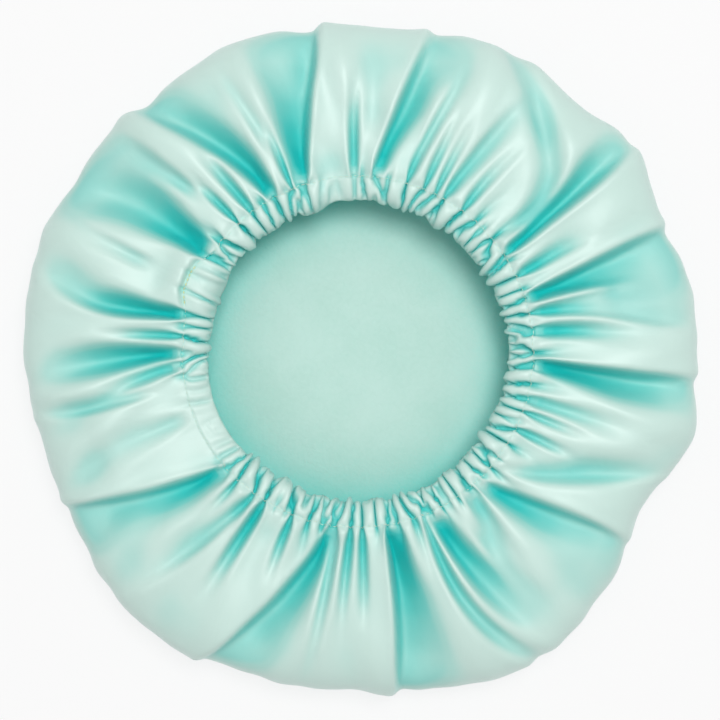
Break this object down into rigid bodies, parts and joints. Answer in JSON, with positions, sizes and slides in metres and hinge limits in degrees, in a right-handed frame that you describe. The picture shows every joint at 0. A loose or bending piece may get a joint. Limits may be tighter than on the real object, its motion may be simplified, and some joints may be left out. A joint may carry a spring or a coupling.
{
  "type": "satin hair bonnet",
  "caption": "Round lined satin hair bonnet lying crown down, its brim drawn in by deep gathers to a mouth with an elastic in a stitched casing.",
  "frame": {"origin": "on the table, under the middle of the bonnet's outline as it lies crown down", "axes": "+Z up out of the mouth, +X to the right and +Y up in the picture, which looks straight down"},
  "size_m": [0.343, 0.3412, 0.0448],
  "materials": {
    "satin": "soft glossy mint satin with a broad sheen",
    "lining": "matte pale mint cloth with a fine plain weave",
    "elastic": "flat braided elastic, white with a mint tint",
    "thread": "twisted polyester sewing thread, pale mint",
    "tack_thread": "dense bar of pale yellow sewing thread"
  },
  "bodies": {
    "bag": {"satin_shell": "satin", "lining": "lining"},
    "mouth": {"elastic_casing": "satin", "elastic_band": "elastic", "elastic_join_stitch": "thread", "casing_topstitch": "thread", "casing_understitch": "thread", "casing_closing_tack": "tack_thread"}
  },
  "joints": [
    {"name": "mouth_lift", "type": "slide", "parent": "bag", "child": "mouth", "axis": [0, 0, 1], "range_m": [0, 0.04], "deforming": ["satin_shell", "lining"]}
  ]
}
